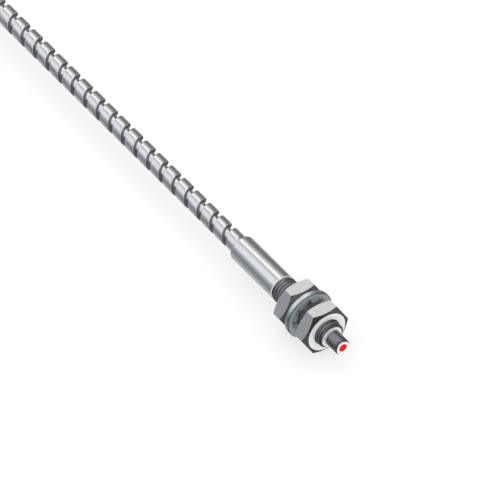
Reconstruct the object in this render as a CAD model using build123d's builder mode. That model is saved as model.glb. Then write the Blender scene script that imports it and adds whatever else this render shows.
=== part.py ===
from build123d import *
import math
import os

# Sensing end of a fibre-optic photoelectric sensor: a threaded light-guide head with its two nuts and
# lock washer, on a stainless strip-wound hose that ends in a two-way connector for the amplifier.
# Frame: millimetres, +X along the optical axis towards the target, +Z up. The origin is the centre of
# the polished optical face. The head lies level, with the rim of its lock washer on the floor.

# Head: lengths are measured back from the optical face
TIP_LENGTH = 3.84
THREAD_LENGTH = 17.35
SLEEVE_LENGTH = 14.75
SPIGOT_LENGTH = 5.0
HOSE_SOCKET_DEPTH = 8.8

# M6 x 0.75 mounting thread and the M3.5 x 0.6 tip thread
THREAD_CREST_R = 2.92
THREAD_PITCH = 0.75
TIP_CREST_R = 1.75
TIP_PITCH = 0.60
DEPTH_PER_PITCH = 0.613
LAND_PER_PITCH = 0.125
THREAD_FACE_R = 2.45
TIP_FACE_R = 1.50

# Sleeve, ferrule and fibres
SLEEVE_R = 2.90
SPIGOT_R = 2.40
BUNDLE_R = 0.95
CAPILLARY_R = 1.25
POTTING_R = 1.45
CAPILLARY_LENGTH = 12.0
POTTING_START = 10.5
RING_LENGTH = 1.0

# Nuts and lock washer
NUT_FLATS = 10.0
NUT_THICKNESS = 3.6
NUT_FACE_R = 4.5
NUT_CHAMFER_DEG = 30
NUT_BORE_R = 2.97
NUT_COUNTERSINK_R = 3.30
FRONT_NUT_X = -5.65
REAR_NUT_X = -13.40
WASHER_R = 5.50
WASHER_BAND_R = 4.25
WASHER_TOOTH_TIP_R = 3.20
WASHER_THICKNESS = 1.30
WASHER_FRONT_X = -11.46
TOOTH_COUNT = 8
TOOTH_WIDTH = 1.55
TOOTH_THICKNESS = 0.60
TOOTH_TWIST_DEG = 30

# Hose: outside diameter 4.2, 500 mm between the two sleeves
HOSE_R = 2.10
HOSE_LENGTH = 500.0
FLOOR_Z = -WASHER_R
TIE_THICKNESS = 0.80
COIL_Z = FLOOR_Z + TIE_THICKNESS + HOSE_R
COIL_INNER_R = 17.3
COIL_PITCH = 4.40
COIL_TURNS = 2.5
COIL_CENTRE = (-165.0, -COIL_INNER_R)
TIE_ANGLES = (20, 170, 245)
TIE_WIDTH = 2.6

# Connector: two ferrules in a clamshell block, on the floor beside the coil
TAIL_Y = COIL_CENTRE[1] - COIL_INNER_R - COIL_TURNS * COIL_PITCH
TAIL_Z = FLOOR_Z + 4.0
TAIL_X = COIL_CENTRE[0] + 13.0
TAIL_SLEEVE_LENGTH = 12.0
BLOCK_LENGTH = 18.0
BLOCK_WIDTH = 18.0
BLOCK_HEIGHT = 8.0
FERRULE_R = 2.00
FERRULE_SHANK_R = 2.30
FERRULE_PITCH = 7.5
FERRULE_LENGTH = 12.0
BRANCH_R = 0.67
SCREW_R = 0.95
SCREW_HEAD_R = 1.90
SCREW_HEAD_HEIGHT = 1.2

# Positions along the head, worked out from the lengths above
SHOULDER_X = -TIP_LENGTH
SLEEVE_FRONT_X = SHOULDER_X - THREAD_LENGTH
SLEEVE_REAR_X = SLEEVE_FRONT_X - SLEEVE_LENGTH
SPIGOT_END_X = SLEEVE_FRONT_X - SPIGOT_LENGTH
HOSE_START_X = SPIGOT_END_X - RING_LENGTH
BLOCK_REAR_X = TAIL_X + TAIL_SLEEVE_LENGTH - 3.0
BLOCK_FRONT_X = BLOCK_REAR_X + BLOCK_LENGTH
HOSE_END_X = TAIL_X + HOSE_SOCKET_DEPTH
FERRULE_TIP_X = BLOCK_FRONT_X + FERRULE_LENGTH

# Route of the hose's straight stretch: level out of the sleeve, then a long low hump over the outer
# turns of the coil and down into its innermost turn
HOSE_ROUTE = [
    (HOSE_START_X, 0, 0),
    (-126, 0, 0),
    (-141, 0.2, 2.1),
    (-156, 0.0, 2.1),
    (-169, -0.4, 0.3),
    (-181, -6.0, -2.0),
]
TAIL_ROUTE = [
    (COIL_CENTRE[0], TAIL_Y, COIL_Z),
    (COIL_CENTRE[0] + 3.5, TAIL_Y, COIL_Z),
    (TAIL_X - 2.5, TAIL_Y, TAIL_Z),
    (HOSE_END_X, TAIL_Y, TAIL_Z),
]


def arc_radii(route):
    """One radius for each corner: 0.45 of its shorter run over the tangent of half the turn."""
    radii = []
    for before, corner, after in zip(route, route[1:], route[2:]):
        run_in = Vector(corner) - Vector(before)
        run_out = Vector(after) - Vector(corner)
        half_turn = math.radians(run_in.get_angle(run_out)) / 2
        radii.append(0.45 * min(run_in.length, run_out.length) / math.tan(half_turn))
    return radii


def thread_outline(x_start, x_end, crest_r, pitch):
    """Outline of a 60 degree thread as V grooves between two stations, as (x, r) points."""
    depth = DEPTH_PER_PITCH * pitch
    flank = depth * math.tan(math.radians(30))
    land = LAND_PER_PITCH * pitch
    grooves = int((x_end - x_start - land) / pitch)
    points = []
    for groove in range(grooves):
        x = x_start + land + groove * pitch
        points.append((x, crest_r))
        points.append((x + flank, crest_r - depth))
        points.append((x + pitch - land - flank, crest_r - depth))
        points.append((x + pitch - land, crest_r))
    return points


def save(builder, name):
    """Label a finished piece and write it as its own STEP file."""
    builder.part.label = name
    export_step(builder.part, f"parts/{name}.step")


os.makedirs("parts", exist_ok=True)

# ---------------------------------------------------------------- head
# Threaded body: M6 thread, shoulder and small tip thread in front, spigot behind, stepped bore
with BuildPart() as head_body:
    with BuildSketch(Plane.XZ):
        with BuildLine():
            Polyline(
                (SPIGOT_END_X, POTTING_R),
                (SPIGOT_END_X, SPIGOT_R),
                (SLEEVE_FRONT_X + 0.40, SPIGOT_R),
                (SLEEVE_FRONT_X + 0.65, THREAD_CREST_R),
                *thread_outline(SLEEVE_FRONT_X + 0.65, SHOULDER_X - 0.45, THREAD_CREST_R, THREAD_PITCH),
                (SHOULDER_X - THREAD_CREST_R + THREAD_FACE_R, THREAD_CREST_R),
                (SHOULDER_X, THREAD_FACE_R),
                (SHOULDER_X, TIP_CREST_R - DEPTH_PER_PITCH * TIP_PITCH),
                (SHOULDER_X + 0.20, TIP_CREST_R - DEPTH_PER_PITCH * TIP_PITCH),
                (SHOULDER_X + 0.35, TIP_CREST_R),
                *thread_outline(SHOULDER_X + 0.35, TIP_FACE_R - TIP_CREST_R, TIP_CREST_R, TIP_PITCH),
                (TIP_FACE_R - TIP_CREST_R, TIP_CREST_R),
                (0, TIP_FACE_R),
                (0, CAPILLARY_R),
                (-POTTING_START + POTTING_R - CAPILLARY_R, CAPILLARY_R),
                (-POTTING_START, POTTING_R),
                close=True,
            )
        make_face()
    revolve(axis=Axis.X)
save(head_body, "head_body")

# Thin tube that holds the fibres in the tip, ground flush with the face
with BuildPart() as tip_ferrule:
    with BuildSketch(Plane.YZ):
        Circle(CAPILLARY_R)
        Circle(BUNDLE_R, mode=Mode.SUBTRACT)
    extrude(amount=-CAPILLARY_LENGTH)
save(tip_ferrule, "tip_ferrule")

# Fibres of both branches, mixed and ground as one round face
with BuildPart() as common_fibre_bundle:
    with BuildSketch(Plane.YZ):
        Circle(BUNDLE_R)
    extrude(amount=HOSE_START_X)
save(common_fibre_bundle, "common_fibre_bundle")

# Epoxy between the fibres and the body's wide bore
with BuildPart() as head_potting:
    with BuildSketch(Plane.XZ):
        with BuildLine():
            Polyline(
                (SPIGOT_END_X, BUNDLE_R),
                (SPIGOT_END_X, POTTING_R),
                (-POTTING_START, POTTING_R),
                (-POTTING_START, CAPILLARY_R),
                (-CAPILLARY_LENGTH, CAPILLARY_R),
                (-CAPILLARY_LENGTH, BUNDLE_R),
                close=True,
            )
        make_face()
    revolve(axis=Axis.X)
save(head_potting, "head_potting")

# Ring that closes the cut end of the hose inside the sleeve
with BuildPart() as hose_end_ring_front:
    with BuildSketch(Plane.YZ.offset(HOSE_START_X)):
        Circle(SPIGOT_R)
        Circle(BUNDLE_R, mode=Mode.SUBTRACT)
    extrude(amount=RING_LENGTH)
save(hose_end_ring_front, "hose_end_ring_front")

# Smooth sleeve over the body's spigot and the end of the hose
with BuildPart() as head_sleeve:
    with BuildSketch(Plane.YZ.offset(SLEEVE_REAR_X)):
        Circle(SLEEVE_R)
    extrude(amount=SLEEVE_LENGTH)
    fillet(head_sleeve.edges().group_by(Axis.X)[0], radius=0.55)
    chamfer(head_sleeve.edges().group_by(Axis.X)[-1], length=0.28)
    with BuildSketch(Plane.YZ.offset(SLEEVE_REAR_X)):
        Circle(HOSE_R)
    extrude(amount=SLEEVE_LENGTH, mode=Mode.SUBTRACT)
    with BuildSketch(Plane.YZ.offset(HOSE_START_X)):
        Circle(SPIGOT_R)
    extrude(amount=SPIGOT_LENGTH + RING_LENGTH, mode=Mode.SUBTRACT)
save(head_sleeve, "head_sleeve")


# ---------------------------------------------------------------- nuts and washer
def hex_nut(front_x, name):
    """Hexagon nut with a flat on top, chamfered at 30 degrees on both faces, with a countersunk bore."""
    corner_r = NUT_FLATS / math.sqrt(3)
    chamfer_depth = (corner_r - NUT_FACE_R) * math.tan(math.radians(NUT_CHAMFER_DEG))
    rear_x = front_x - NUT_THICKNESS
    countersink = NUT_COUNTERSINK_R - NUT_BORE_R
    with BuildPart() as nut:
        with BuildSketch(Plane.YZ.offset(rear_x)):
            RegularPolygon(radius=corner_r, side_count=6)
        extrude(amount=NUT_THICKNESS)
        with BuildSketch(Plane.XZ):
            with BuildLine():
                Polyline(
                    (rear_x, NUT_COUNTERSINK_R),
                    (rear_x, NUT_FACE_R),
                    (rear_x + chamfer_depth, corner_r),
                    (front_x - chamfer_depth, corner_r),
                    (front_x, NUT_FACE_R),
                    (front_x, NUT_COUNTERSINK_R),
                    (front_x - countersink, NUT_BORE_R),
                    (rear_x + countersink, NUT_BORE_R),
                    close=True,
                )
            make_face()
        revolve(axis=Axis.X, mode=Mode.INTERSECT)
    save(nut, name)


hex_nut(FRONT_NUT_X, "front_nut")
hex_nut(REAR_NUT_X, "rear_nut")

# Lock washer: flat outer band with inner teeth, each twisted about its own radius
with BuildPart() as lock_washer:
    with BuildSketch(Plane.YZ.offset(WASHER_FRONT_X - WASHER_THICKNESS)):
        Circle(WASHER_R)
        Circle(WASHER_BAND_R, mode=Mode.SUBTRACT)
    extrude(amount=WASHER_THICKNESS)
    chamfer(lock_washer.edges().filter_by(GeomType.CIRCLE).group_by(SortBy.RADIUS)[-1], length=0.10)
    for tooth in range(TOOTH_COUNT):
        turn = math.radians(360 / TOOTH_COUNT * (tooth + 0.5))
        radial = (0, math.cos(turn), math.sin(turn))
        base = Plane(
            origin=(WASHER_FRONT_X - WASHER_THICKNESS / 2, 0, 0),
            x_dir=(1, 0, 0),
            z_dir=radial,
        ).offset(WASHER_TOOTH_TIP_R)
        with BuildSketch(base):
            Rectangle(TOOTH_THICKNESS, TOOTH_WIDTH, rotation=TOOTH_TWIST_DEG)
        extrude(amount=WASHER_BAND_R + 0.25 - WASHER_TOOTH_TIP_R)
save(lock_washer, "lock_washer")

# ---------------------------------------------------------------- hose
# Straight stretch from the head, up over the coil's outer turns and down into the coil
with BuildPart() as conduit:
    with BuildLine() as conduit_path:
        FilletPolyline(*HOSE_ROUTE, radius=arc_radii(HOSE_ROUTE))
    with BuildSketch(Plane(origin=HOSE_ROUTE[0], z_dir=(-1, 0, 0))):
        Circle(HOSE_R)
    sweep(path=conduit_path.line)
save(conduit, "conduit")

# Outer shape of the flat coil: a spiral of half circles, so its inner and its outer edge each have a
# step of one pitch, where the hose comes in and where it leaves
def spiral_turn(first_half_turn, edge_offset):
    """Outline of one whole turn of the coil, closed by the step where the next turn begins."""
    first_r = COIL_INNER_R + first_half_turn * COIL_PITCH / 2 + edge_offset
    side = 1 if first_half_turn % 2 == 0 else -1
    start = (COIL_CENTRE[0], COIL_CENTRE[1] + side * first_r)
    half_way = (COIL_CENTRE[0], COIL_CENTRE[1] - side * (first_r + COIL_PITCH / 2))
    end = (COIL_CENTRE[0], COIL_CENTRE[1] + side * (first_r + COIL_PITCH))
    first_bulge_x = COIL_CENTRE[0] - side * (first_r + COIL_PITCH / 4)
    second_bulge_x = COIL_CENTRE[0] + side * (first_r + 3 * COIL_PITCH / 4)
    with BuildSketch(Plane.XY.offset(COIL_Z - HOSE_R), mode=Mode.PRIVATE) as turn:
        with BuildLine():
            ThreePointArc(start, (first_bulge_x, (start[1] + half_way[1]) / 2), half_way)
            ThreePointArc(half_way, (second_bulge_x, (half_way[1] + end[1]) / 2), end)
            Line(end, start)
        make_face()
    return turn.sketch


outer_outline = spiral_turn(3, HOSE_R)
inner_outline = spiral_turn(0, -HOSE_R)
with BuildPart() as conduit_coil:
    with BuildSketch(Plane.XY.offset(COIL_Z - HOSE_R)):
        add(outer_outline)
        add(inner_outline, mode=Mode.SUBTRACT)
    extrude(amount=2 * HOSE_R)
    fillet(conduit_coil.edges().filter_by(GeomType.CIRCLE), radius=1.2)
save(conduit_coil, "conduit_coil")

# Last few millimetres from the coil into the connector
with BuildPart() as conduit_tail:
    with BuildLine() as tail_path:
        FilletPolyline(*TAIL_ROUTE, radius=arc_radii(TAIL_ROUTE))
    with BuildSketch(Plane(origin=tail_path.line @ 0, z_dir=tail_path.line % 0)):
        Circle(HOSE_R)
    sweep(path=tail_path.line)
save(conduit_tail, "conduit_tail")

# Three ties round the turns; the coil lies on their straps
with BuildPart() as coil_ties:
    for angle in TIE_ANGLES:
        across = (math.cos(math.radians(angle)), math.sin(math.radians(angle)), 0)
        along = (across[1], -across[0], 0)
        inner_edge = COIL_INNER_R + COIL_PITCH * ((angle - 90) % 360) / 360 - HOSE_R
        outer_edge = COIL_INNER_R + COIL_PITCH * (1.5 + (angle - 270) % 360 / 360) + HOSE_R
        middle_r = (inner_edge + outer_edge) / 2
        middle = (COIL_CENTRE[0] + middle_r * across[0], COIL_CENTRE[1] + middle_r * across[1], COIL_Z)
        width = outer_edge - inner_edge + 0.2
        with BuildSketch(Plane(origin=middle, x_dir=across, z_dir=along)):
            RectangleRounded(width + 2 * TIE_THICKNESS, 2 * (HOSE_R + TIE_THICKNESS), 1.6)
            Rectangle(width, 2 * HOSE_R, mode=Mode.SUBTRACT)
            with Locations((width / 2 - 2.5, HOSE_R + 1.6)):
                Rectangle(3.4, 2.6)
        extrude(amount=TIE_WIDTH / 2, both=True)
save(coil_ties, "coil_ties")

# ---------------------------------------------------------------- connector
# Sleeve on the hose's far end, held in the block by its collar
with BuildPart() as tail_sleeve:
    with BuildSketch(Plane.YZ.offset(TAIL_X)):
        with Locations((TAIL_Y, TAIL_Z)):
            Circle(SLEEVE_R)
    extrude(amount=TAIL_SLEEVE_LENGTH)
    fillet(tail_sleeve.edges().group_by(Axis.X)[0], radius=0.55)
    with BuildSketch(Plane.YZ.offset(BLOCK_REAR_X + 1.0)):
        with Locations((TAIL_Y, TAIL_Z)):
            Circle(SLEEVE_R + 0.6)
    extrude(amount=RING_LENGTH)
    with BuildSketch(Plane.YZ.offset(TAIL_X)):
        with Locations((TAIL_Y, TAIL_Z)):
            Circle(HOSE_R)
    extrude(amount=HOSE_SOCKET_DEPTH + RING_LENGTH, mode=Mode.SUBTRACT)
    with BuildSketch(Plane.YZ.offset(TAIL_X)):
        with Locations((TAIL_Y, TAIL_Z)):
            Circle(2 * BRANCH_R + 0.1)
    extrude(amount=TAIL_SLEEVE_LENGTH, mode=Mode.SUBTRACT)
save(tail_sleeve, "tail_sleeve")

# Ring that closes the hose's far end
with BuildPart() as hose_end_ring_rear:
    with BuildSketch(Plane.YZ.offset(HOSE_END_X)):
        with Locations((TAIL_Y, TAIL_Z)):
            Circle(HOSE_R)
            Circle(2 * BRANCH_R + 0.1, mode=Mode.SUBTRACT)
    extrude(amount=RING_LENGTH)
save(hose_end_ring_rear, "hose_end_ring_rear")

POCKET_REAR_X = TAIL_X + TAIL_SLEEVE_LENGTH
POCKET_FRONT_X = POCKET_REAR_X + 9.0
POCKET_WIDTH = 9.6
POCKET_HEIGHT = 3.0
FERRULE_REAR_X = POCKET_FRONT_X - 1.0


def branch(side, fibres_name, ferrule_name):
    """One branch of the fibres, from the end of the hose to its ferrule's tip, and that ferrule."""
    hose_y = TAIL_Y + side * BRANCH_R * 1.02
    ferrule_y = TAIL_Y + side * FERRULE_PITCH / 2
    with BuildPart() as fibres:
        with BuildLine() as fibre_path:
            FilletPolyline(
                (HOSE_END_X, hose_y, TAIL_Z),
                (POCKET_REAR_X + 0.5, hose_y, TAIL_Z),
                (FERRULE_REAR_X - 0.8, ferrule_y, TAIL_Z),
                (FERRULE_TIP_X, ferrule_y, TAIL_Z),
                radius=5.0,
            )
        with BuildSketch(Plane(origin=(HOSE_END_X, hose_y, TAIL_Z), z_dir=(1, 0, 0))):
            Circle(BRANCH_R)
        sweep(path=fibre_path.line)
    save(fibres, fibres_name)

    with BuildPart() as ferrule:
        with BuildSketch(Plane.XY.offset(TAIL_Z)):
            with BuildLine():
                Polyline(
                    (FERRULE_REAR_X, ferrule_y + BRANCH_R),
                    (FERRULE_REAR_X, ferrule_y + FERRULE_SHANK_R),
                    (BLOCK_FRONT_X - 3.0, ferrule_y + FERRULE_SHANK_R),
                    (BLOCK_FRONT_X - 3.0, ferrule_y + FERRULE_SHANK_R + 0.5),
                    (BLOCK_FRONT_X - 2.0, ferrule_y + FERRULE_SHANK_R + 0.5),
                    (BLOCK_FRONT_X - 2.0, ferrule_y + FERRULE_SHANK_R),
                    (BLOCK_FRONT_X, ferrule_y + FERRULE_SHANK_R),
                    (BLOCK_FRONT_X, ferrule_y + FERRULE_R),
                    (FERRULE_TIP_X - 0.3, ferrule_y + FERRULE_R),
                    (FERRULE_TIP_X, ferrule_y + FERRULE_R - 0.3),
                    (FERRULE_TIP_X, ferrule_y + BRANCH_R),
                    close=True,
                )
            make_face()
        revolve(axis=Axis((0, ferrule_y, TAIL_Z), (1, 0, 0)))
    save(ferrule, ferrule_name)
    return fibres.part


branch_parts = [
    branch(1, "emitter_fibre_bundle", "emitter_ferrule"),
    branch(-1, "receiver_fibre_bundle", "receiver_ferrule"),
]

SCREW_X = (POCKET_REAR_X + POCKET_FRONT_X) / 2
SCREW_Y = 6.7
SCREW_PLACES = [(SCREW_X, TAIL_Y - SCREW_Y), (SCREW_X, TAIL_Y + SCREW_Y)]


def block_half(bottom_z, height, name):
    """One half of the connector's block: channels for the sleeve and the ferrules, and the pocket."""
    middle_x = (BLOCK_REAR_X + BLOCK_FRONT_X) / 2
    with BuildPart() as half:
        with BuildSketch(Plane.XY.offset(bottom_z)):
            with Locations((middle_x, TAIL_Y)):
                RectangleRounded(BLOCK_LENGTH, BLOCK_WIDTH, 1.5)
        extrude(amount=height)
        outer_z = Plane.XY.offset(bottom_z if bottom_z < TAIL_Z - 1 else bottom_z + height)
        chamfer(half.faces().filter_by(outer_z).edges(), length=0.5)
        with BuildSketch(Plane.YZ.offset(BLOCK_REAR_X)):
            with Locations((TAIL_Y, TAIL_Z)):
                Circle(SLEEVE_R)
        extrude(amount=POCKET_REAR_X - BLOCK_REAR_X, mode=Mode.SUBTRACT)
        with BuildSketch(Plane.YZ.offset(BLOCK_REAR_X + 1.0)):
            with Locations((TAIL_Y, TAIL_Z)):
                Circle(SLEEVE_R + 0.6)
        extrude(amount=RING_LENGTH, mode=Mode.SUBTRACT)
        with BuildSketch(Plane.XY.offset(TAIL_Z - POCKET_HEIGHT / 2)):
            with Locations(((POCKET_REAR_X + POCKET_FRONT_X) / 2, TAIL_Y)):
                Rectangle(POCKET_FRONT_X - POCKET_REAR_X, POCKET_WIDTH)
        extrude(amount=POCKET_HEIGHT, mode=Mode.SUBTRACT)
        for side in (-1, 1):
            ferrule_y = TAIL_Y + side * FERRULE_PITCH / 2
            with BuildSketch(Plane.YZ.offset(FERRULE_REAR_X)):
                with Locations((ferrule_y, TAIL_Z)):
                    Circle(FERRULE_SHANK_R)
            extrude(amount=BLOCK_FRONT_X - FERRULE_REAR_X, mode=Mode.SUBTRACT)
            with BuildSketch(Plane.YZ.offset(BLOCK_FRONT_X - 3.0)):
                with Locations((ferrule_y, TAIL_Z)):
                    Circle(FERRULE_SHANK_R + 0.5)
            extrude(amount=1.0, mode=Mode.SUBTRACT)
        with BuildSketch(Plane.XY.offset(TAIL_Z - 3.0)):
            with Locations(*SCREW_PLACES):
                Circle(SCREW_R + 0.02)
        extrude(amount=BLOCK_HEIGHT, mode=Mode.SUBTRACT)
        with BuildSketch(Plane.XY.offset(FLOOR_Z + BLOCK_HEIGHT - SCREW_HEAD_HEIGHT)):
            with Locations(*SCREW_PLACES):
                Circle(SCREW_HEAD_R + 0.1)
        extrude(amount=BLOCK_HEIGHT, mode=Mode.SUBTRACT)
    save(half, name)


block_half(FLOOR_Z, BLOCK_HEIGHT / 2, "splitter_body")
block_half(TAIL_Z, BLOCK_HEIGHT / 2, "splitter_cover")

# Epoxy that holds the fork of the fibres in the pocket
with BuildPart() as splitter_potting:
    with BuildSketch(Plane.XY.offset(TAIL_Z - POCKET_HEIGHT / 2)):
        with Locations(((POCKET_REAR_X + FERRULE_REAR_X) / 2, TAIL_Y)):
            Rectangle(FERRULE_REAR_X - POCKET_REAR_X, POCKET_WIDTH)
    extrude(amount=POCKET_HEIGHT)
    add(branch_parts, mode=Mode.SUBTRACT)
save(splitter_potting, "splitter_potting")

# Two socket screws that close the block
with BuildPart() as splitter_screws:
    with BuildSketch(Plane.XY.offset(TAIL_Z - 3.0)):
        with Locations(*SCREW_PLACES):
            Circle(SCREW_R)
    extrude(amount=BLOCK_HEIGHT / 2 + 3.0 - SCREW_HEAD_HEIGHT)
    with BuildSketch(Plane.XY.offset(FLOOR_Z + BLOCK_HEIGHT - SCREW_HEAD_HEIGHT)):
        with Locations(*SCREW_PLACES):
            Circle(SCREW_HEAD_R)
    extrude(amount=SCREW_HEAD_HEIGHT)
    with BuildSketch(Plane.XY.offset(FLOOR_Z + BLOCK_HEIGHT)):
        with Locations(*SCREW_PLACES):
            RegularPolygon(radius=0.87, side_count=6)
    extrude(amount=-0.8, mode=Mode.SUBTRACT)
save(splitter_screws, "splitter_screws")

# Figures for the hose: its radii, its volume against section times length, and its whole length
section = math.pi * HOSE_R**2
for route_name, route, path, piece in (
    ("hose", HOSE_ROUTE, conduit_path, conduit),
    ("tail", TAIL_ROUTE, tail_path, conduit_tail),
):
    print(route_name, "corner radii", [round(radius, 1) for radius in arc_radii(route)])
    path_length = sum(edge.length for edge in path.edges())
    print(route_name, "volume", round(piece.part.volume, 1), "of", round(section * path_length, 1))
coil_length = 2 * math.pi * COIL_TURNS * (COIL_INNER_R + COIL_PITCH * COIL_TURNS / 2)
straight_length = SLEEVE_REAR_X - COIL_CENTRE[0]
tail_length = TAIL_X - COIL_CENTRE[0]
print("hose between sleeves", round(straight_length + coil_length + tail_length, 1), "of", HOSE_LENGTH)
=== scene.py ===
import math

import bmesh
import bpy
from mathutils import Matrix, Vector


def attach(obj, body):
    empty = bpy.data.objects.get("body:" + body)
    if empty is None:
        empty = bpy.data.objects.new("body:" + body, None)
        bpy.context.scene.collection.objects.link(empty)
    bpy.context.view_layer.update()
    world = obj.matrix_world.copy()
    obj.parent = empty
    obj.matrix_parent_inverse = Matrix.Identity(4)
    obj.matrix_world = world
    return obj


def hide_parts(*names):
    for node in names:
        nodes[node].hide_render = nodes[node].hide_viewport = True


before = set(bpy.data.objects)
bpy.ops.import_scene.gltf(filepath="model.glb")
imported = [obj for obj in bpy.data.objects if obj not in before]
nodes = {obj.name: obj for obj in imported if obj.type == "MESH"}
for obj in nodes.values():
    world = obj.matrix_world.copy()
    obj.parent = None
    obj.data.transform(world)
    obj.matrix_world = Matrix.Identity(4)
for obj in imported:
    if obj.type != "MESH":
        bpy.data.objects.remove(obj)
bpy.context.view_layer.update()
MM = 0.001

# Sizes of the CAD model, in millimetres
SHOULDER_X = -3.84
SLEEVE_FRONT_X = -21.19
SLEEVE_REAR_X = -35.94
THREAD_CREST_R = 2.92
THREAD_PITCH = 0.75
TIP_CREST_R = 1.75
TIP_PITCH = 0.60
SLEEVE_R = 2.90
SLEEVE_BORE_R = 2.40
SPIGOT_END_X = -26.19
HOSE_START_X = -27.19
HOSE_R = 2.10
NUT_FLATS = 10.0
NUT_THICKNESS = 3.6
NUT_FACE_R = 4.5
NUT_BORE_R = 2.97
FRONT_NUT_X = -5.65
REAR_NUT_X = -13.40
WASHER_FRONT_X = -11.46
WASHER_THICKNESS = 1.30
WASHER_R = 5.50
TOOTH_COUNT = 8
FLOOR_Z = -5.5
COIL_CENTRE = (-165.0, -17.3)
COIL_Z = -2.6
COIL_INNER_R = 17.3
COIL_PITCH = 4.4
TAIL_Y = -45.6
TAIL_Z = -1.5
TAIL_X = -152.0
BLOCK_FRONT_X = -125.0
FERRULE_TIP_X = -113.0
FERRULE_OFFSET = 3.75
TIE_ANGLES = (20, 170, 245)

# Sizes that only the render has. The CAD's hose is a plain rod, and its countersink is 3.30, which
# leaves the nut's white face narrower than in the photo.
HOSE_FLOOR_R = 1.13
HOSE_PITCH = 4.50
NUT_COUNTERSINK_R = 3.08


# ------------------------------------------------------------------ camera
# A long lens from far away, since the photo is a parallel projection
AIM_RIGHT = -18.78
AIM_UP = 19.75
CAMERA_DISTANCE_M = 4.217 - 0.012

scene = bpy.context.scene
azimuth = math.radians(54.95)
elevation = math.radians(43.8)
right = Vector((math.cos(azimuth), math.sin(azimuth), 0))
up = Vector((
    -math.sin(azimuth) * math.sin(elevation),
    math.cos(azimuth) * math.sin(elevation),
    math.cos(elevation),
))
back = right.cross(up)
camera_data = bpy.data.cameras.new("camera")
camera_data.lens = 1500
camera_data.sensor_width = 36
camera_data.clip_start = 0.5
camera_data.clip_end = 12
camera = bpy.data.objects.new("camera", camera_data)
scene.collection.objects.link(camera)
aim = (right * AIM_RIGHT + up * AIM_UP) * MM
camera.location = aim + back * CAMERA_DISTANCE_M
camera.rotation_mode = "QUATERNION"
camera.rotation_quaternion = (-back).to_track_quat("-Z", "Y")
scene.camera = camera
scene.view_settings.view_transform = "Standard"


# ------------------------------------------------------------------ materials
def new_material(name):
    """A new material with its node tree and its Principled shader."""
    made = bpy.data.materials.new(name)
    made.use_nodes = True
    tree = made.node_tree
    return made, tree, tree.nodes["Principled BSDF"]


def noise(tree, coordinates, scale, detail=3.0, roughness=0.55):
    """A noise texture over a mapping of the given scale along X, Y and Z."""
    mapping = tree.nodes.new("ShaderNodeMapping")
    mapping.inputs["Scale"].default_value = scale
    texture = tree.nodes.new("ShaderNodeTexNoise")
    texture.inputs["Scale"].default_value = 1.0
    texture.inputs["Detail"].default_value = detail
    texture.inputs["Roughness"].default_value = roughness
    tree.links.new(coordinates, mapping.inputs["Vector"])
    tree.links.new(mapping.outputs["Vector"], texture.inputs["Vector"])
    return texture.outputs["Fac"]


def spread(tree, value, low, high):
    """Stretches a noise value of 0.3 to 0.7 over low to high."""
    node = tree.nodes.new("ShaderNodeMapRange")
    node.inputs["From Min"].default_value = 0.3
    node.inputs["From Max"].default_value = 0.7
    node.inputs["To Min"].default_value = low
    node.inputs["To Max"].default_value = high
    tree.links.new(value, node.inputs["Value"])
    return node.outputs["Result"]


def blend_colour(tree, value, first, second):
    """Mixes two colours by a value."""
    node = tree.nodes.new("ShaderNodeMix")
    node.data_type = "RGBA"
    node.inputs["A"].default_value = (*first, 1)
    node.inputs["B"].default_value = (*second, 1)
    tree.links.new(value, node.inputs["Factor"])
    return node.outputs["Result"]


def add_bump(tree, shader, value, distance, strength=1.0):
    """Bumps the surface by a noise value; distance is in metres."""
    node = tree.nodes.new("ShaderNodeBump")
    node.inputs["Strength"].default_value = strength
    node.inputs["Distance"].default_value = distance
    tree.links.new(value, node.inputs["Height"])
    tree.links.new(node.outputs["Normal"], shader.inputs["Normal"])


def scratches(tree, source, scale, turn):
    """Long fine scratches: the peaks of a noise that is stretched along one direction, as 0 to 1."""
    mapping = tree.nodes.new("ShaderNodeMapping")
    mapping.inputs["Rotation"].default_value = turn
    tree.links.new(source, mapping.inputs["Vector"])
    peaks = tree.nodes.new("ShaderNodeMapRange")
    peaks.inputs["From Min"].default_value = 0.63
    peaks.inputs["From Max"].default_value = 0.70
    tree.links.new(noise(tree, mapping.outputs["Vector"], scale, 2.0), peaks.inputs["Value"])
    return peaks.outputs["Result"]


def calculate(tree, operation, *values):
    """A Math node over sockets or numbers."""
    node = tree.nodes.new("ShaderNodeMath")
    node.operation = operation
    for socket, value in zip(node.inputs, values):
        if isinstance(value, (int, float)):
            socket.default_value = value
        else:
            tree.links.new(value, socket)
    return node.outputs[0]


SCRATCH_SCALE = (260, 5200, 5200)
SCRATCH_TURN = (0.5, 0.35, 0.6)
EDGE_WEAR = 0.35


def lathe_marks(tree, coordinates, fine):
    """Mixes fine rings round the X direction into a grain value."""
    rings = tree.nodes.new("ShaderNodeTexWave")
    rings.wave_type = "RINGS"
    rings.rings_direction = "X"
    rings.inputs["Scale"].default_value = 2600
    rings.inputs["Distortion"].default_value = 0.4
    tree.links.new(coordinates.outputs["Object"], rings.inputs["Vector"])
    grain_part = calculate(tree, "MULTIPLY", fine, 0.75)
    return calculate(tree, "MULTIPLY_ADD", rings.outputs["Fac"], 0.25, grain_part)


def worn_edges(tree):
    """A value that rises to EDGE_WEAR on outer edges."""
    geometry = tree.nodes.new("ShaderNodeNewGeometry")
    edges = tree.nodes.new("ShaderNodeMapRange")
    edges.inputs["From Min"].default_value = 0.53
    edges.inputs["From Max"].default_value = 0.62
    edges.inputs["To Max"].default_value = EDGE_WEAR
    tree.links.new(geometry.outputs["Pointiness"], edges.inputs["Value"])
    return edges.outputs["Result"]


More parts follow.
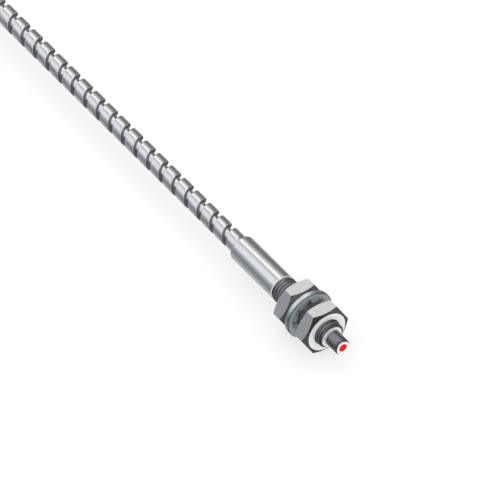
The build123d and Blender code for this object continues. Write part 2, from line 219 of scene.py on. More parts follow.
def metal(
    name, colour, roughness, grain, metallic=1.0, uv=False, shade=0.90, bump=1.2e-6, even=(900, 900, 900),
    turned=False,
):
    """Machined metal: fine grain, broad tint changes, scratches, worn edges, and lathe marks if turned."""
    made, tree, shader = new_material(name)
    coordinates = tree.nodes.new("ShaderNodeTexCoord")
    source = coordinates.outputs["UV" if uv else "Object"]
    fine = noise(tree, source, grain, 4.0, 0.65)
    broad = noise(tree, coordinates.outputs["Object"], even, 2.0)
    marks = scratches(tree, coordinates.outputs["Object"], SCRATCH_SCALE, SCRATCH_TURN)
    if turned:
        fine = lathe_marks(tree, coordinates, fine)
    tint = calculate(tree, "MULTIPLY_ADD", spread(tree, fine, 0.0, 0.6), 0.6, spread(tree, broad, 0.0, 0.6))
    darker = tuple(channel * shade for channel in colour)
    brighter = tuple(min(channel * 1.25 + 0.02, 0.96) for channel in colour)
    worn = tree.nodes.new("ShaderNodeMix")
    worn.data_type = "RGBA"
    worn.inputs["B"].default_value = (*brighter, 1)
    faint_marks = calculate(tree, "MULTIPLY", marks, 0.12)
    tree.links.new(calculate(tree, "MAXIMUM", worn_edges(tree), faint_marks), worn.inputs["Factor"])
    tree.links.new(blend_colour(tree, tint, darker, colour), worn.inputs["A"])
    tree.links.new(worn.outputs["Result"], shader.inputs["Base Color"])
    rough = spread(tree, fine, roughness * 0.8, roughness * 1.25)
    tree.links.new(calculate(tree, "MULTIPLY_ADD", marks, 0.05, rough), shader.inputs["Roughness"])
    shader.inputs["Metallic"].default_value = metallic
    add_bump(tree, shader, calculate(tree, "MULTIPLY_ADD", marks, -0.15, fine), bump)
    return made


STEEL = (0.93, 0.93, 0.94)
sleeve_steel = metal("sleeve_steel", STEEL, 0.12, (26000, 500, 500), shade=0.95)
hose_steel = metal("hose_steel", STEEL, 0.13, (1.2, 42, 1), uv=True, shade=0.93)
# Dark copy of the hose steel for the strip's step face: painted shade on the end face in the groove.
hose_step_painted_shade = metal("hose_step_painted_shade", (0.31, 0.31, 0.34), 0.40, (6, 30, 1), metallic=0.8, uv=True, shade=0.75)
hose_rim = metal("hose_rim", (0.62, 0.62, 0.65), 0.32, (6, 30, 1), metallic=0.45, uv=True, shade=0.85)
thread_steel = metal("thread_steel", (0.80, 0.80, 0.85), 0.30, (9000, 1500, 1500), shade=0.72)
stub_steel = metal("stub_steel", (0.60, 0.60, 0.64), 0.32, (9000, 1500, 1500), shade=0.72)
# Darker steel for the thread roots and lower flanks: painted shade in the thread grooves.
thread_root_painted_shade = metal("thread_root_painted_shade", (0.42, 0.42, 0.45), 0.42, (9000, 1500, 1500), shade=0.6)
bright_face = metal(
    "bright_face", (0.89, 0.895, 0.905), 0.36, (2500, 9000, 9000), metallic=0.18, shade=0.92, turned=True
)
nut_steel = metal("nut_steel", (0.92, 0.90, 0.91), 0.22, (16000, 3500, 3500), shade=0.93)
chamfer_steel = metal("chamfer_steel", (0.80, 0.80, 0.84), 0.22, (3500, 9000, 9000), shade=0.85)
washer_steel = metal("washer_steel", (0.80, 0.88, 0.92), 0.30, (14000, 2500, 2500), shade=0.86)
washer_face = metal("washer_face", (0.40, 0.43, 0.44), 0.45, (6000, 9000, 9000), metallic=0.3, shade=0.85)
# Near-black copy of the washer steel for its bore, back face and rounded front edge: painted shade along the
# edge and behind the washer.
washer_edge_painted_shade = metal("washer_edge_painted_shade", (0.17, 0.19, 0.21), 0.35, (14000, 2500, 2500), metallic=0.6, shade=0.8)
block_aluminium = metal(
    "block_aluminium", (0.72, 0.73, 0.75), 0.42, (26000, 26000, 26000),
    shade=0.88, bump=6e-6, even=(220, 220, 220),
)
screw_steel = metal("screw_steel", (0.62, 0.62, 0.64), 0.30, (9000, 9000, 3000), shade=0.85)
brass = metal("brass", (0.72, 0.52, 0.25), 0.30, (18000, 1500, 1500), shade=0.85)


def plastic(name, colour, roughness, grain, bump, coat=0.0):
    """Moulded or cast plastic with a fine skin texture and slight tint changes."""
    made, tree, shader = new_material(name)
    coordinates = tree.nodes.new("ShaderNodeTexCoord")
    fine = noise(tree, coordinates.outputs["Object"], (grain, grain, grain), 4.0)
    broad = noise(tree, coordinates.outputs["Object"], (grain / 20, grain / 20, grain / 20))
    darker = tuple(channel * 0.75 for channel in colour)
    tint = blend_colour(tree, spread(tree, broad, 0.0, 1.0), darker, colour)
    tree.links.new(tint, shader.inputs["Base Color"])
    tree.links.new(spread(tree, fine, roughness * 0.85, roughness * 1.15), shader.inputs["Roughness"])
    shader.inputs["Coat Weight"].default_value = coat
    add_bump(tree, shader, fine, bump)
    return made


black_nylon = plastic("black_nylon", (0.028, 0.028, 0.030), 0.42, 9000, 4e-6)
epoxy = plastic("epoxy", (0.45, 0.26, 0.10), 0.20, 3000, 2e-6, coat=0.6)


def fibres(name, colour, edge, glow):
    """Ground ends of glass fibres: small round cells in a darker bed, with a little light coming out."""
    made, tree, shader = new_material(name)
    coordinates = tree.nodes.new("ShaderNodeTexCoord")
    cells = tree.nodes.new("ShaderNodeTexVoronoi")
    cells.inputs["Scale"].default_value = 14000
    tree.links.new(coordinates.outputs["Object"], cells.inputs["Vector"])
    ramp = tree.nodes.new("ShaderNodeValToRGB")
    ramp.color_ramp.elements[0].position = 0.25
    ramp.color_ramp.elements[0].color = (*colour, 1)
    ramp.color_ramp.elements[1].position = 0.75
    ramp.color_ramp.elements[1].color = (*edge, 1)
    tree.links.new(cells.outputs["Distance"], ramp.inputs["Fac"])
    tree.links.new(ramp.outputs["Color"], shader.inputs["Base Color"])
    tree.links.new(ramp.outputs["Color"], shader.inputs["Emission Color"])
    shader.inputs["Emission Strength"].default_value = glow
    shader.inputs["Roughness"].default_value = 0.40
    shader.inputs["Specular IOR Level"].default_value = 0.1
    add_bump(tree, shader, cells.outputs["Distance"], 3e-6, 0.4)
    return made


lit_fibres = fibres("lit_fibres", (0.74, 0.004, 0.008), (0.60, 0.003, 0.007), 0.14)
dark_fibres = fibres("dark_fibres", (0.42, 0.40, 0.36), (0.16, 0.14, 0.12), 0.0)


# ------------------------------------------------------------------ mesh building
def round_edges(piece, width):
    """Rounds off an object's edges by a width in millimetres."""
    modifier = piece.modifiers.new("edges", "BEVEL")
    modifier.width = width * MM
    modifier.segments = 3
    modifier.limit_method = "ANGLE"
    modifier.angle_limit = math.radians(28)
    modifier.harden_normals = True


class Shell:
    """Collects vertices and faces in millimetres, with a material and, for wound strip, a UV for each."""

    def __init__(self):
        self.points = []
        self.faces = []
        self.slots = []
        self.corners = []

    def add_face(self, face, slot, corners=None):
        self.faces.append(face)
        self.slots.append(slot)
        self.corners.append(corners or [(0.0, 0.0)] * len(face))

    def join_rings(self, base, rings, width, slots, closed=False):
        """Joins rings of width points each, which start at point base; closed joins the last to the first."""
        for ring in range(rings if closed else rings - 1):
            first = base + ring * width
            second = base + (ring + 1) % rings * width
            slot = slots[ring] if isinstance(slots, (list, tuple)) else slots
            for step in range(width):
                after = (step + 1) % width
                self.add_face((first + step, first + after, second + after, second + step), slot)

    def lathe(self, profile, slots, centre=(0.0, 0.0), segments=128):
        """Turns a profile of (x, r) points about the X direction through centre; it runs along +X outside."""
        base = len(self.points)
        for x, radius in profile:
            for step in range(segments):
                angle = 2 * math.pi * step / segments
                self.points.append((
                    x,
                    centre[0] + radius * math.cos(angle),
                    centre[1] + radius * math.sin(angle),
                ))
        self.join_rings(base, len(profile), segments, slots)

    def helix(self, place, section, slots, pitch, start, end, steps, lead=0.0):
        """Winds a section along a line.

        place(s, angle, r) gives a point, and the section holds (share of pitch, r).
        """
        turns = math.ceil((end - start) / pitch) + 2
        count = turns * steps
        width = len(section)
        base = len(self.points)
        along = []
        for step in range(count + 1):
            for share, radius in section:
                s = start + pitch * (step / steps + share - 1) + lead
                s = min(max(s, start), end)
                along.append(s)
                self.points.append(place(s, 2 * math.pi * step / steps, radius))
        for step in range(count):
            for column in range(width):
                if column < width - 1:
                    ids = (
                        step * width + column,
                        (step + 1) * width + column,
                        (step + 1) * width + column + 1,
                        step * width + column + 1,
                    )
                    next_share = section[column + 1][0]
                else:
                    if step + steps + 1 > count:
                        continue
                    ids = (
                        step * width + column,
                        (step + 1) * width + column,
                        (step + steps + 1) * width,
                        (step + steps) * width,
                    )
                    next_share = 1.0
                reach = [along[i] for i in ids]
                if max(reach) - min(reach) < 1e-7:
                    continue
                corners = [
                    (step / steps, section[column][0]),
                    ((step + 1) / steps, section[column][0]),
                    ((step + 1) / steps, next_share),
                    (step / steps, next_share),
                ]
                self.add_face(tuple(base + i for i in ids), slots[column], corners)

    def build(self, name, body, materials, replaced=(), bevel=0.0, sharp=35):
        """Makes the object, lets it ride on its body and stand for the CAD nodes that it replaces."""
        mesh = bpy.data.meshes.new(name)
        mesh.from_pydata([Vector(p) * MM for p in self.points], [], self.faces)
        for made in materials:
            mesh.materials.append(made)
        mesh.polygons.foreach_set("material_index", self.slots)
        layer = mesh.uv_layers.new(name="UVMap")
        layer.data.foreach_set("uv", [value for face in self.corners for corner in face for value in corner])
        mesh.polygons.foreach_set("use_smooth", [True] * len(self.faces))
        mesh.update()
        mesh.set_sharp_from_angle(angle=math.radians(sharp))
        made = bpy.data.objects.new(name, mesh)
        scene.collection.objects.link(made)
        if bevel:
            round_edges(made, bevel)
        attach(made, body)
        if replaced:
            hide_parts(*replaced)
        return made


def axis_place(centre=(0.0, 0.0), limit=None):
    """A place function about the X direction through centre, with the radius kept under limit(x)."""

    def place(s, angle, radius):
        reach = radius if limit is None else min(radius, limit(s))
        return (s, centre[0] + reach * math.cos(angle), centre[1] + reach * math.sin(angle))

    return place


# ------------------------------------------------------------------ hose
# Control points of the hose's centreline. The smooth line runs inside its control points, so the
# coil's are placed further out, by the cosine of half the step between two of them.
COIL_POINTS = 28
COIL_STEP_DEG = 30
COIL_ENTRY_DEG = 172
COIL_START_DEG = 90
LINE_SHRINK = 0.966

HOSE_ROUTE = [
    (HOSE_START_X, 0, 0),
    (-111, 0, 0),
    (-126, 0, 0),
    (-141, 0.2, 2.1),
    (-156, 0.0, 2.1),
    (-169, -0.4, 0.3),
    (-181, -6.0, -2.0),
]
for step in range(COIL_POINTS):
    turn_deg = COIL_ENTRY_DEG + COIL_STEP_DEG * step
    turn = math.radians(turn_deg)
    radius = (COIL_INNER_R + COIL_PITCH * (turn_deg - COIL_START_DEG) / 360) / LINE_SHRINK
    HOSE_ROUTE.append((
        COIL_CENTRE[0] + radius * math.cos(turn),
        COIL_CENTRE[1] + radius * math.sin(turn),
        COIL_Z,
    ))
HOSE_ROUTE += [(-161.5, TAIL_Y, COIL_Z), (-154.5, TAIL_Y, TAIL_Z), (-143.2, TAIL_Y, TAIL_Z)]


def spline_points(route):
    """Points of the smooth line over a route, as Blender's own NURBS spline gives them."""
    curve = bpy.data.curves.new("route", "CURVE")
    curve.dimensions = "3D"
    curve.resolution_u = 24
    spline = curve.splines.new("NURBS")
    spline.points.add(len(route) - 1)
    for point, place in zip(spline.points, route):
        point.co = (place[0] * MM, place[1] * MM, place[2] * MM, 1)
    spline.order_u = 3
    spline.use_endpoint_u = True
    spline.resolution_u = 24
    holder = bpy.data.objects.new("route", curve)
    mesh = bpy.data.meshes.new_from_object(holder)
    line = [vertex.co.copy() for vertex in mesh.vertices]
    bpy.data.objects.remove(holder)
    bpy.data.curves.remove(curve)
    bpy.data.meshes.remove(mesh)
    return line


class Line:
    """The hose's centreline with its running length and a frame that does not twist, in millimetres."""

    def __init__(self, points):
        self.points = [point / MM for point in points]
        self.lengths = [0.0]
        for before, after in zip(self.points, self.points[1:]):
            self.lengths.append(self.lengths[-1] + (after - before).length)
        self.normals = []
        normal = Vector((0, 1, 0))
        for index in range(len(self.points)):
            first = self.points[max(index - 1, 0)]
            last = self.points[min(index + 1, len(self.points) - 1)]
            tangent = (last - first).normalized()
            normal = (normal - tangent * normal.dot(tangent)).normalized()
            self.normals.append((normal.copy(), tangent.cross(normal)))
        self.index = 0

    def place(self, s, angle, radius):
        while self.index < len(self.lengths) - 2 and self.lengths[self.index + 1] < s:
            self.index += 1
        while self.index > 0 and self.lengths[self.index] > s:
            self.index -= 1
        i = self.index
        share = (s - self.lengths[i]) / (self.lengths[i + 1] - self.lengths[i])
        centre = self.points[i].lerp(self.points[i + 1], share)
        first = self.normals[i][0].lerp(self.normals[i + 1][0], share)
        second = self.normals[i][1].lerp(self.normals[i + 1][1], share)
        return centre + (first * math.cos(angle) + second * math.sin(angle)) * radius


hose_points = spline_points(HOSE_ROUTE)
hose_line = Line(hose_points)
# One turn of the strip as (share of pitch, r): a sharp step, the land, its rounded shoulder, and the groove
HOSE_SECTION = [
    (0.000, 1.33),
    (0.003, 1.985),
    (0.014, 2.065),
    (0.032, HOSE_R),
    (0.200, HOSE_R),
    (0.420, HOSE_R),
    (0.620, HOSE_R),
    (0.645, 2.085),
    (0.662, 2.03),
    (0.676, 1.92),
    (0.690, 1.70),
    (0.702, 1.40),
    (0.716, 1.20),
    (0.740, HOSE_FLOOR_R),
    (0.820, 1.19),
    (0.910, 1.26),
]
# Slot 1, the step face, takes the dark steel with painted shade; slot 2 is the rounded rim.
HOSE_SLOTS = [1, 2, 2] + [0] * (len(HOSE_SECTION) - 3)
HOSE_LEAD = 1.34
hose_shell = Shell()
hose_shell.helix(
    hose_line.place, HOSE_SECTION, HOSE_SLOTS, HOSE_PITCH, 0.0, hose_line.lengths[-1], 48, lead=HOSE_LEAD
)
hose = hose_shell.build(
    "wound_hose", "light_guide", [hose_steel, hose_step_painted_shade, hose_rim],
    ("conduit", "conduit_coil", "conduit_tail"), sharp=40,
)

# ------------------------------------------------------------------ threaded body
body_shell = Shell()


def thread_section(crest, pitch):
    """One pitch of a 60 degree thread as (share of pitch, r)."""
    depth = 0.613 * pitch
    return [
        (0.00, crest),
        (0.125, crest),
        (0.30, crest - depth * 0.5),
        (0.475, crest - depth),
        (0.60, crest - depth),
        (0.80, crest - depth * 0.5),
    ]


def main_limit(x):
    """Largest radius of the M6 thread at x, from the chamfers at its two ends."""
    front = 2.42 + (SHOULDER_X - x) * 2.2
    rear = 2.40 + (x - (SLEEVE_FRONT_X + 0.06)) * 2.5
    return min(front, max(rear, 2.40))


def tip_limit(x):
    """Largest radius of the tip's thread at x, from the chamfers at its two ends."""
    front = 1.50 + max(-x, 0) * 1.0
    rear = 1.72 + (x - SHOULDER_X) * 1.5
    return min(front, rear)


# Slot 2, the root and lower flanks, takes the darker steel with painted shade.
body_shell.helix(
    axis_place(limit=main_limit), thread_section(THREAD_CREST_R, THREAD_PITCH), [3, 2, 2, 2, 2, 3],
    THREAD_PITCH, SLEEVE_FRONT_X - 0.3, SHOULDER_X, 72,
)
body_shell.helix(
    axis_place(limit=tip_limit), thread_section(TIP_CREST_R, TIP_PITCH), [0, 0, 2, 2, 2, 0],
    TIP_PITCH, SHOULDER_X, -0.02, 60,
)
body_shell.lathe([(SHOULDER_X, 2.422), (SHOULDER_X + 0.02, 2.40), (SHOULDER_X + 0.02, 1.36)], 1)
body_shell.lathe([(-0.02, 1.515), (0.0, 1.49), (0.0, 1.25), (-0.4, 1.25)], [0, 1, 1])
body_shell.lathe([(SPIGOT_END_X, 1.45), (SPIGOT_END_X, 2.395), (SLEEVE_FRONT_X, 2.395)], 0)
body_shell.build(
    "threaded_body", "light_guide", [thread_steel, bright_face, thread_root_painted_shade, stub_steel],
    ("head_body",), sharp=25,
)

# ------------------------------------------------------------------ sleeve
def rounded_sleeve_end(x):
    """Profile of a sleeve's rounded rear end at x, from its bore out to its full radius."""
    steps = ((0.0, 2.20), (0.0, 2.36), (0.06, 2.56), (0.17, 2.72), (0.34, 2.84), (0.58, SLEEVE_R))
    return [(x + forward, radius) for forward, radius in steps]


sleeve_shell = Shell()
sleeve_shell.lathe(
    [
        (SPIGOT_END_X, SLEEVE_BORE_R),
        (HOSE_START_X, SLEEVE_BORE_R),
        (HOSE_START_X, 2.14),
        (SLEEVE_REAR_X + 0.05, 2.14),
        *rounded_sleeve_end(SLEEVE_REAR_X),
        (SLEEVE_FRONT_X - 0.17, SLEEVE_R),
        (SLEEVE_FRONT_X, 2.74),
        (SLEEVE_FRONT_X, 2.42),
        (SLEEVE_FRONT_X - 0.4, SLEEVE_BORE_R),
        (SPIGOT_END_X, SLEEVE_BORE_R),
    ],
    [0] * 10 + [1, 0, 0, 0],
)
sleeve_shell.build(
    "head_sleeve_shell", "light_guide", [sleeve_steel, bright_face],
    ("head_sleeve",), sharp=32,
)


# ------------------------------------------------------------------ nuts
def build_nut(name, front_x, body, replaced):
    """Hexagon nut with a flat on top, 30 degree chamfers, countersunk ends and a threaded bore."""
    shell = Shell()
    rear_x = front_x - NUT_THICKNESS
    columns = 6 * 16
    slope = math.tan(math.radians(30))
    rows = []
    for column in range(columns):
        angle = 2 * math.pi * column / columns
        local = (angle + math.pi / 3) % (math.pi / 3) - math.pi / 6
        outer = NUT_FLATS / 2 / math.cos(local)
        drop = (outer - NUT_FACE_R) * slope
        rows.append([
            (front_x - 0.14, NUT_BORE_R),
            (front_x, NUT_COUNTERSINK_R),
            (front_x, NUT_FACE_R),
            (front_x - drop, outer),
            (rear_x + drop, outer),
            (rear_x, NUT_FACE_R),
            (rear_x, NUT_COUNTERSINK_R),
            (rear_x + 0.14, NUT_BORE_R),
        ])
        for x, radius in rows[-1]:
            shell.points.append((x, radius * math.cos(angle), radius * math.sin(angle)))
    slots = [1, 2, 1, 0, 1, 2, 1]
    count = len(rows[0])
    for column in range(columns):
        after = (column + 1) % columns
        for row in range(count - 1):
            shell.add_face(
                (
                    column * count + row,
                    column * count + row + 1,
                    after * count + row + 1,
                    after * count + row,
                ),
                slots[row],
            )
    bore = [(0.00, 3.20), (0.12, 3.20), (0.30, 3.09), (0.45, NUT_BORE_R), (0.60, NUT_BORE_R), (0.80, 3.09)]
    inner = Shell()
    inner.helix(axis_place(), bore, [1] * 6, THREAD_PITCH, rear_x + 0.25, front_x - 0.25, 60)
    offset = len(shell.points)
    shell.points += inner.points
    for face in inner.faces:
        shell.add_face(tuple(offset + i for i in reversed(face)), 1)
    shell.build(
        name, body, [nut_steel, chamfer_steel, bright_face], replaced, bevel=0.06, sharp=28
    )


build_nut("hex_nut_front", FRONT_NUT_X, "front_nut", ("front_nut",))
build_nut("hex_nut_rear", REAR_NUT_X, "rear_nut", ("rear_nut",))

# ------------------------------------------------------------------ lock washer
washer_shell = Shell()
front = WASHER_FRONT_X
rear = WASHER_FRONT_X - WASHER_THICKNESS
# Slot 3, the bore, back face and front edge round, takes the near-black steel with painted shade.
washer_shell.lathe(
    [
        (front - 0.35, 4.26),
        (rear + 0.35, 4.26),
        (rear, 4.34),
        (rear, 5.34),
        (rear + 0.16, WASHER_R),
        (front - 0.24, WASHER_R),
        (front - 0.05, 5.41),
        (front, 5.33),
        (front, 4.34),
        (front - 0.35, 4.26),
    ],
    [3, 3, 3, 3, 0, 3, 3, 2, 2],
    segments=160,
)
# A tooth's cross-section, as (share of its half width, height)
TOOTH_OUTLINE = (
    (-1, -0.18), (-0.9, -0.25), (0, -0.26), (0.9, -0.25), (1, -0.18),
    (1, 0.18), (0.9, 0.25), (0, 0.26), (-0.9, 0.25), (-1, 0.18),
)
# A tooth from its root inwards, as (radius, half width, twist in degrees)
TOOTH_ROWS = [
    (4.60, 1.32, 0),
    (4.27, 1.30, 2),
    (4.16, 1.18, 5),
    (3.98, 1.04, 8),
    (3.84, 1.12, 10),
    (3.74, 1.30, 12),
    (3.58, 1.26, 13),
    (3.46, 0.98, 14),
    (3.10, 0.84, 14),
]
for tooth in range(TOOTH_COUNT):
    turn = math.radians(360 / TOOTH_COUNT * (tooth + 0.5))
    radial = Vector((0, math.cos(turn), math.sin(turn)))
    across = Vector((0, -math.sin(turn), math.cos(turn)))
    axial = Vector((1, 0, 0))
    middle = axial * (front - 0.34)
    base = len(washer_shell.points)
    for radius, half_width, twist in TOOTH_ROWS:
        bend = math.radians(twist)
        for share, lift in TOOTH_OUTLINE:
            sideways = share * half_width
            point = (
                middle
                + radial * math.sqrt(max(radius**2 - (sideways * 0.6) ** 2, 1))
                + across * (sideways * math.cos(bend) - lift * math.sin(bend))
                + axial * (sideways * math.sin(bend) + lift * math.cos(bend))
            )
            washer_shell.points.append(tuple(point))
    width = len(TOOTH_OUTLINE)
    washer_shell.join_rings(base, len(TOOTH_ROWS), width, 2)
    last = base + (len(TOOTH_ROWS) - 1) * width
    washer_shell.add_face(tuple(last + column for column in range(width)), 2)
washer_shell.build(
    "tooth_lock_washer", "lock_washer", [washer_steel, washer_face, washer_face, washer_edge_painted_shade],
    ("lock_washer",), sharp=40,
)

# ------------------------------------------------------------------ connector
tail_shell = Shell()
tail_shell.lathe(
    [
        (TAIL_X + 8.0, 2.13),
        (TAIL_X + 0.05, 2.13),
        *rounded_sleeve_end(TAIL_X),
        (TAIL_X + 9.0, SLEEVE_R),
        (TAIL_X + 10.0, SLEEVE_R),
        (TAIL_X + 10.0, 3.48),
        (TAIL_X + 11.0, 3.48),
        (TAIL_X + 11.0, SLEEVE_R),
        (TAIL_X + 12.0, SLEEVE_R),
        (TAIL_X + 12.0, 1.5),
    ],
    0,
    centre=(TAIL_Y, TAIL_Z),
)
tail_sleeve = tail_shell.build(
    "tail_sleeve_shell", "light_guide", [sleeve_steel], ("tail_sleeve",), sharp=32
)

for side, node in ((1, "emitter_ferrule"), (-1, "receiver_ferrule")):
    shell = Shell()
    shell.lathe(
        [
            (BLOCK_FRONT_X - 7.0, 0.67),
            (BLOCK_FRONT_X - 7.0, 2.28),
            (BLOCK_FRONT_X - 0.35, 2.28),
            (BLOCK_FRONT_X - 0.10, 2.12),
            (BLOCK_FRONT_X + 0.02, 2.00),
            (FERRULE_TIP_X - 4.00, 2.00),
            (FERRULE_TIP_X - 3.85, 1.85),
            (FERRULE_TIP_X - 3.35, 1.85),
            (FERRULE_TIP_X - 3.20, 2.00),
            (FERRULE_TIP_X - 0.36, 2.00),
            (FERRULE_TIP_X - 0.10, 1.80),
            (FERRULE_TIP_X, 1.66),
            (FERRULE_TIP_X, 0.67),
        ],
        [0] * 11 + [1],
        centre=(TAIL_Y + side * FERRULE_OFFSET, TAIL_Z),
        segments=96,
    )
    finishes = [sleeve_steel, bright_face]
    ferrule = shell.build(node + "_shell", "light_guide", finishes, (node,), sharp=25)


def softened_copy(node, name, made, bevel):
    """A new piece in the shape of a flat-sided CAD node, with its edges rounded off."""
    copy = bpy.data.objects.new(name, nodes[node].data.copy())
    scene.collection.objects.link(copy)
    mesh = bmesh.new()
    mesh.from_mesh(copy.data)
    bmesh.ops.remove_doubles(mesh, verts=mesh.verts, dist=1e-6)
    bmesh.ops.dissolve_limit(mesh, angle_limit=math.radians(1), verts=mesh.verts, edges=mesh.edges)
    mesh.to_mesh(copy.data)
    mesh.free()
    copy.data.materials.clear()
    copy.data.materials.append(made)
    copy.data.polygons.foreach_set("use_smooth", [True] * len(copy.data.polygons))
    copy.data.set_sharp_from_angle(angle=math.radians(28))
    round_edges(copy, bevel)
    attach(copy, "light_guide")
    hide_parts(node)
    return copy


block_lower = softened_copy("splitter_body", "block_lower", block_aluminium, 0.16)
block_upper = softened_copy("splitter_cover", "block_upper", block_aluminium, 0.16)
screws = softened_copy("splitter_screws", "block_screws", screw_steel, 0.08)

# ------------------------------------------------------------------ coil ties
# A strap's cross-section, as (sideways, height above the hose)
TIE_SECTION = [
    (-1.30, 0.10), (-1.18, 0.0), (1.18, 0.0), (1.30, 0.10),
    (1.30, 0.62), (1.16, 0.78), (-1.16, 0.78), (-1.30, 0.62),
]
TIE_CORNER_R = 1.2
# The outline of a tie's head, as shares of its half length and half width, and its levels with their insets
TIE_HEAD_OUTLINE = ((1, 0.8), (0.8, 1), (-0.8, 1), (-1, 0.8), (-1, -0.8), (-0.8, -1), (0.8, -1), (1, -0.8))
TIE_HEAD_LEVELS = ((-1.15, 0.0), (0.75, 0.0), (1.05, 0.12), (1.15, 0.35))
TIE_HEAD_HALF_LENGTH = 1.7
TIE_HEAD_HALF_WIDTH = 1.3

ties_shell = Shell()
for angle in TIE_ANGLES:
    across = Vector((math.cos(math.radians(angle)), math.sin(math.radians(angle)), 0))
    along = Vector((across.y, -across.x, 0))
    lift = Vector((0, 0, 1))
    inner_edge = COIL_INNER_R + COIL_PITCH * ((angle - 90) % 360) / 360 - HOSE_R
    outer_edge = COIL_INNER_R + COIL_PITCH * (1.5 + (angle - 270) % 360 / 360) + HOSE_R
    half = (outer_edge - inner_edge) / 2 + 0.1
    centre = Vector((*COIL_CENTRE, COIL_Z)) + across * (inner_edge + outer_edge) / 2
    outline = []
    for corner_x, corner_z, first in ((1, 1, 0), (-1, 1, 90), (-1, -1, 180), (1, -1, 270)):
        for step in range(7):
            turn = math.radians(first + 15 * step)
            outline.append((
                corner_x * (half - TIE_CORNER_R) + TIE_CORNER_R * math.cos(turn),
                corner_z * (HOSE_R - TIE_CORNER_R) + TIE_CORNER_R * math.sin(turn),
                math.cos(turn),
                math.sin(turn),
            ))
    base = len(ties_shell.points)
    for x, z, out_x, out_z in outline:
        for sideways, height in TIE_SECTION:
            point = (
                centre
                + across * (x + out_x * height)
                + lift * (z + out_z * height)
                + along * sideways
            )
            ties_shell.points.append(tuple(point))
    ties_shell.join_rings(base, len(outline), len(TIE_SECTION), 0, closed=True)
    head_centre = centre + across * (half - 2.5) + lift * (HOSE_R + 1.45)
    base = len(ties_shell.points)
    for level, inset in TIE_HEAD_LEVELS:
        for x, y in TIE_HEAD_OUTLINE:
            sideways = across * x * (TIE_HEAD_HALF_LENGTH - inset)
            lengthways = along * y * (TIE_HEAD_HALF_WIDTH - inset)
            ties_shell.points.append(tuple(head_centre + sideways + lengthways + lift * level))
    width = len(TIE_HEAD_OUTLINE)
    ties_shell.join_rings(base, len(TIE_HEAD_LEVELS), width, 0)
    top = base + (len(TIE_HEAD_LEVELS) - 1) * width
    ties_shell.add_face(tuple(top + column for column in range(width)), 0)
ties = ties_shell.build(
    "coil_tie_straps", "light_guide", [black_nylon], ("coil_ties",), sharp=30
)

# ------------------------------------------------------------------ carried-over CAD nodes
for node, made in (
    ("tip_ferrule", bright_face),
    ("common_fibre_bundle", lit_fibres),
    ("head_potting", epoxy),
    ("hose_end_ring_front", brass),
    ("hose_end_ring_rear", brass),
    ("splitter_potting", epoxy),
    ("emitter_fibre_bundle", lit_fibres),
    ("receiver_fibre_bundle", dark_fibres),
):
    for finish in nodes[node].material_slots:
        finish.material = made

[tuple(point) for point in hose_points]

# ------------------------------------------------------------------ floor, backdrop and light
FLOOR_HALF_M = 6.0
floor_mesh = bpy.data.meshes.new("floor")
floor_corners = ((-1, -1), (1, -1), (1, 1), (-1, 1))
floor_mesh.from_pydata(
    [(x * FLOOR_HALF_M, y * FLOOR_HALF_M, FLOOR_Z * MM) for x, y in floor_corners],
    [],
    [(0, 1, 2, 3)],
)
floor = bpy.data.objects.new("floor", floor_mesh)
scene.collection.objects.link(floor)
floor_paint, floor_tree, floor_shader = new_material("floor_paint")
floor_coordinates = floor_tree.nodes.new("ShaderNodeTexCoord")
floor_noise = noise(floor_tree, floor_coordinates.outputs["Object"], (6, 6, 6), 2.0)
floor_tree.links.new(
    blend_colour(floor_tree, floor_noise, (0.33, 0.33, 0.33), (0.35, 0.35, 0.35)),
    floor_shader.inputs["Base Color"],
)
floor_shader.inputs["Roughness"].default_value = 1.0
floor_shader.inputs["Specular IOR Level"].default_value = 0.0
floor_shader.inputs["Emission Color"].default_value = (1, 1, 1, 1)
floor_shader.inputs["Emission Strength"].default_value = 0.67
floor_mesh.materials.append(floor_paint)
floor.visible_glossy = False

# Studio: soft white light from all round, and softboxes that only reflections see. They are laid out
# by their angle about the X direction, from behind (0) over the top (90) to the front (180) and under.
world = bpy.data.worlds.new("studio")
scene.world = world
world.use_nodes = True
tree = world.node_tree
tree.nodes.clear()
AXIS_UP = (0.0, 0.8579, 0.5138)
AXIS_FRONT = (0.0, -0.5138, 0.8579)


def dot_with(direction):
    """Cosine between the ray and a direction."""
    node = tree.nodes.new("ShaderNodeVectorMath")
    node.operation = "DOT_PRODUCT"
    node.inputs[1].default_value = direction
    tree.links.new(ray, node.inputs[0])
    return node.outputs["Value"]


def ramp_node(value, stops):
    """A colour ramp over stops of (position, grey or colour)."""
    node = tree.nodes.new("ShaderNodeValToRGB")
    elements = node.color_ramp.elements
    for position, _ in stops[2:]:
        elements.new(position)
    for element, (position, colour) in zip(elements, stops):
        element.position = position
        element.color = (*colour, 1) if isinstance(colour, tuple) else (colour, colour, colour, 1)
    tree.links.new(value, node.inputs["Fac"])
    return node.outputs["Color"]


def colour_node(kind, first, second, factor=1.0):
    """Adds or multiplies two colours or greys."""
    node = tree.nodes.new("ShaderNodeMix")
    node.data_type = "RGBA"
    node.blend_type = kind
    node.clamp_result = False
    for name, value in (("Factor", factor), ("A", first), ("B", second)):
        socket = node.inputs[name]
        if isinstance(value, (int, float)):
            socket.default_value = value if name == "Factor" else (value, value, value, 1)
        else:
            tree.links.new(value, socket)
    return node.outputs["Result"]


ray = tree.nodes.new("ShaderNodeTexCoord").outputs["Generated"]
along_x = dot_with((1, 0, 0))
from_behind = calculate(tree, "MULTIPLY", dot_with(AXIS_FRONT), -1.0)
turn_angle = calculate(tree, "ARCTAN2", dot_with(AXIS_UP), from_behind)
turn_share = calculate(tree, "FRACT", calculate(tree, "DIVIDE", turn_angle, 2 * math.pi))
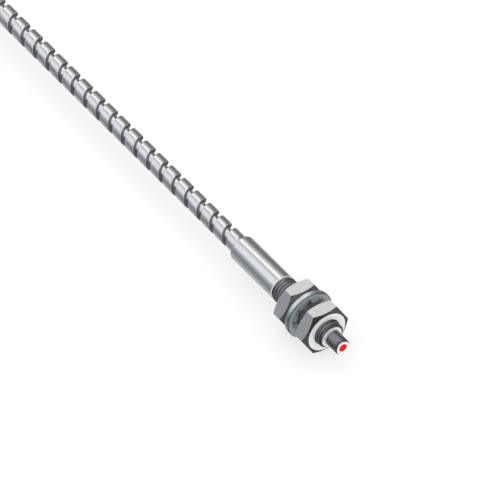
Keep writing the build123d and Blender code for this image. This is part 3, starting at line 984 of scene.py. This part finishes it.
# Brightness of the reflected studio, as (degrees about the X direction, colour)
SOFTBOXES = [
    (0, (0.58, 0.59, 0.60)),
    (25, (0.36, 0.37, 0.37)),
    (60, (0.14, 0.145, 0.145)),
    (88, (0.20, 0.20, 0.20)),
    (108, (0.44, 0.42, 0.42)),
    (122, (0.78, 0.76, 0.76)),
    (134, (1.10, 1.09, 1.09)),
    (143, (1.02, 1.01, 1.01)),
    (152, (0.52, 0.52, 0.52)),
    (162, (0.54, 0.55, 0.55)),
    (178, (0.78, 0.79, 0.82)),
    (204, (0.80, 0.82, 0.87)),
    (218, (0.56, 0.58, 0.62)),
    (236, (0.27, 0.285, 0.31)),
    (260, (0.20, 0.21, 0.23)),
    (278, (0.24, 0.255, 0.27)),
    (298, (0.37, 0.39, 0.40)),
    (335, (0.52, 0.53, 0.54)),
]
band_stops = [(angle / 360, colour) for angle, colour in SOFTBOXES]
bands = ramp_node(turn_share, band_stops + [(1.0, SOFTBOXES[0][1])])
overhead = ramp_node(turn_share, [
    (0.0, 0.06), (0.25, 0.08), (0.30, 0.32), (0.34, 0.66), (0.375, 1.0), (0.41, 0.92), (0.45, 0.66),
    (0.50, (0.76, 0.77, 0.80)), (0.57, (0.74, 0.76, 0.80)), (0.61, (0.48, 0.50, 0.53)),
    (0.645, (0.18, 0.20, 0.20)),
    (0.70, (0.075, 0.088, 0.084)), (0.90, (0.05, 0.065, 0.06)), (1.0, 0.06),
])
x_share = calculate(tree, "MULTIPLY_ADD", along_x, 0.5, 0.5)
band_part = ramp_node(x_share, [(0.0, 1.0), (0.25, 1.0), (0.33, 0.0), (1.0, 0.0)])
overhead_part = ramp_node(
    x_share, [(0.0, 0.0), (0.25, 0.0), (0.33, 1.0), (0.90, 1.0), (0.95, 0.0), (1.0, 0.0)]
)
low_front = dot_with((0.59, 0.4145, -0.6923))
low_part = ramp_node(low_front, [(0.0, 0.0), (0.88, 0.0), (0.955, 1.05), (1.0, 1.05)])
studio = colour_node("ADD", colour_node("MULTIPLY", bands, band_part), 0.018)
studio = colour_node("ADD", studio, colour_node("MULTIPLY", overhead, overhead_part))
studio = colour_node("ADD", studio, low_part)

paths = tree.nodes.new("ShaderNodeLightPath")
seen = tree.nodes.new("ShaderNodeBackground")
seen.inputs["Color"].default_value = (1, 1, 1, 1)
seen.inputs["Strength"].default_value = 1.0
mirrored = tree.nodes.new("ShaderNodeBackground")
tree.links.new(studio, mirrored.inputs["Color"])
mirrored.inputs["Strength"].default_value = 1.0
mix = tree.nodes.new("ShaderNodeMixShader")
tree.links.new(paths.outputs["Is Glossy Ray"], mix.inputs["Fac"])
tree.links.new(seen.outputs[0], mix.inputs[1])
tree.links.new(mirrored.outputs[0], mix.inputs[2])
output = tree.nodes.new("ShaderNodeOutputWorld")
tree.links.new(mix.outputs[0], output.inputs["Surface"])

key_data = bpy.data.lights.new("soft_key", "AREA")
key_data.shape = "DISK"
key_data.size = 0.5
key_data.energy = 0.55
key = bpy.data.objects.new("soft_key", key_data)
scene.collection.objects.link(key)
key.location = (-0.25, 0.15, 0.65)
key.rotation_mode = "QUATERNION"
key.rotation_quaternion = (Vector((-0.05, -0.01, 0)) - key.location).to_track_quat("-Z", "Y")
key.visible_glossy = False
